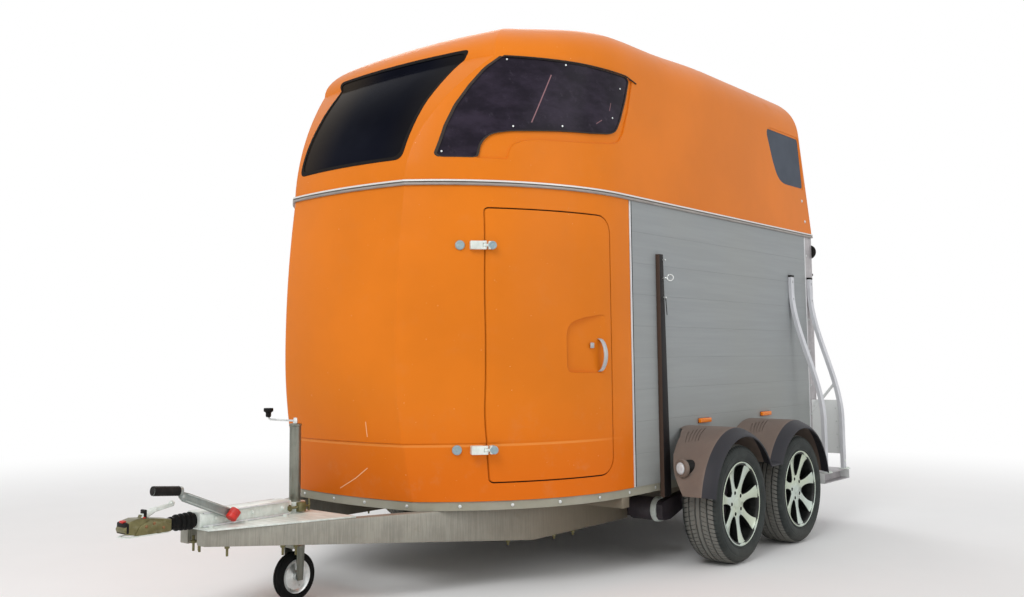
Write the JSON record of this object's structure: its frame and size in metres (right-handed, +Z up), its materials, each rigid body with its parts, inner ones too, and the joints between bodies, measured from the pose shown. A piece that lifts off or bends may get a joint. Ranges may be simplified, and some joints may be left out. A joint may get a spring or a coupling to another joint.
{
  "type": "horse trailer",
  "caption": "Horse trailer with a rounded nose and hood, windows, plank sides, a groom's door, a rear ramp and flap, spoked wheels under mudguards, and a drawbar on its jack.",
  "frame": {"origin": "on the ground, under the middle of the whole trailer's length and width, standing parked on its jack", "axes": "+Z up, the nose and coupling towards -Y, the ramp at +Y, the groom's door on the +X side"},
  "size_m": [2.36, 4.378, 2.746],
  "materials": {
    "shell": "gloss, lightly scratched and dusty",
    "plank": "dull brushed planks",
    "aluminium": "dull extruded",
    "galvanised": "galvanised, weathered",
    "black_metal": "satin",
    "glass": "dark tinted",
    "floor": "coated boards in a metal edge",
    "rubber": "matt",
    "tyre": "dusty",
    "alloy": "machined faces, black pockets",
    "mudguard": "moulded",
    "grey_plastic": "satin",
    "white_lens": "gloss",
    "red_lens": "gloss",
    "amber_lens": "gloss"
  },
  "bodies": {
    "trailer": {"nose_shell": "shell", "hood_shell": "shell", "belt_rail": "aluminium", "windscreen": "glass", "side_window_left": "glass", "side_window_right": "glass", "rear_window_left": "glass", "rear_window_right": "glass", "side_wall_left": "plank", "side_wall_right": "plank", "corner_post_left": "galvanised", "corner_post_right": "galvanised", "side_post_left": "black_metal", "side_post_right": "black_metal", "guard_rail_front_left": "aluminium", "guard_rail_front_right": "aluminium", "guard_rail_rear_left": "aluminium", "guard_rail_rear_right": "aluminium", "floor_pan": "floor", "drawbar_beam_left": "galvanised", "drawbar_beam_right": "galvanised", "cross_member_front": "galvanised", "cross_member_rear": "galvanised", "rear_platform": "galvanised", "overrun_housing": "galvanised", "coupling_gaiter": "rubber", "coupling_head": "galvanised", "jack_tube": "galvanised", "mudguard_left": "mudguard", "mudguard_right": "mudguard", "front_lamp_left": "white_lens", "front_lamp_right": "white_lens", "post_lamp_left": "red_lens", "post_lamp_right": "red_lens", "tail_lamp_left": "red_lens", "tail_lamp_right": "red_lens", "marker_lamp_front_left": "amber_lens", "marker_lamp_front_right": "amber_lens", "marker_lamp_rear_left": "amber_lens", "marker_lamp_rear_right": "amber_lens", "axle_front": "galvanised", "axle_rear": "galvanised"},
    "wheel_front_left": {"tyre_front_left": "tyre", "rim_front_left": "alloy"},
    "wheel_front_right": {"tyre_front_right": "tyre", "rim_front_right": "alloy"},
    "wheel_rear_left": {"tyre_rear_left": "tyre", "rim_rear_left": "alloy"},
    "wheel_rear_right": {"tyre_rear_right": "tyre", "rim_rear_right": "alloy"},
    "door": {"groom_door": "shell", "door_handle": "grey_plastic"},
    "ramp": {"rear_ramp": "plank"},
    "flap": {"rear_flap": "shell"},
    "lever": {"brake_lever": "black_metal"},
    "jack_leg": {"jack_inner_tube": "galvanised"},
    "jack_wheel": {"jockey_wheel": "rubber"}
  },
  "joints": [
    {"name": "wheel_front_left_spin", "type": "hinge", "parent": "trailer", "child": "wheel_front_left", "pos_m": [1.06, 0.467, 0.2885], "axis": [1, 0, 0], "continuous": true},
    {"name": "wheel_front_right_spin", "type": "hinge", "parent": "trailer", "child": "wheel_front_right", "pos_m": [-1.06, 0.467, 0.2885], "axis": [1, 0, 0], "continuous": true},
    {"name": "wheel_rear_left_spin", "type": "hinge", "parent": "trailer", "child": "wheel_rear_left", "pos_m": [1.06, 1.18, 0.2885], "axis": [1, 0, 0], "continuous": true},
    {"name": "wheel_rear_right_spin", "type": "hinge", "parent": "trailer", "child": "wheel_rear_right", "pos_m": [-1.06, 1.18, 0.2885], "axis": [1, 0, 0], "continuous": true},
    {"name": "groom_door_swing", "type": "hinge", "parent": "trailer", "child": "door", "pos_m": [0.63642, -0.87305, 1.05], "axis": [0, 0, -1], "range_deg": [0, 110]},
    {"name": "ramp_swing", "type": "hinge", "parent": "trailer", "child": "ramp", "pos_m": [0, 2.173, 0.352], "axis": [-1, 0, 0], "range_deg": [0, 104]},
    {"name": "flap_swing", "type": "hinge", "parent": "trailer", "child": "flap", "pos_m": [0, 2.014, 2.552], "axis": [1, 0, 0], "range_deg": [0, 85]},
    {"name": "brake_lever_swing", "type": "hinge", "parent": "trailer", "child": "lever", "pos_m": [0.056, -1.743, 0.405], "axis": [-1, 0, 0], "range_deg": [0, 65]},
    {"name": "jack_slide", "type": "slide", "parent": "trailer", "child": "jack_leg", "axis": [0, 0, 1], "range_m": [0, 0.08]},
    {"name": "jack_wheel_spin", "type": "hinge", "parent": "jack_leg", "child": "jack_wheel", "pos_m": [0, -1.379, 0.1], "axis": [1, 0, 0], "continuous": true}
  ]
}
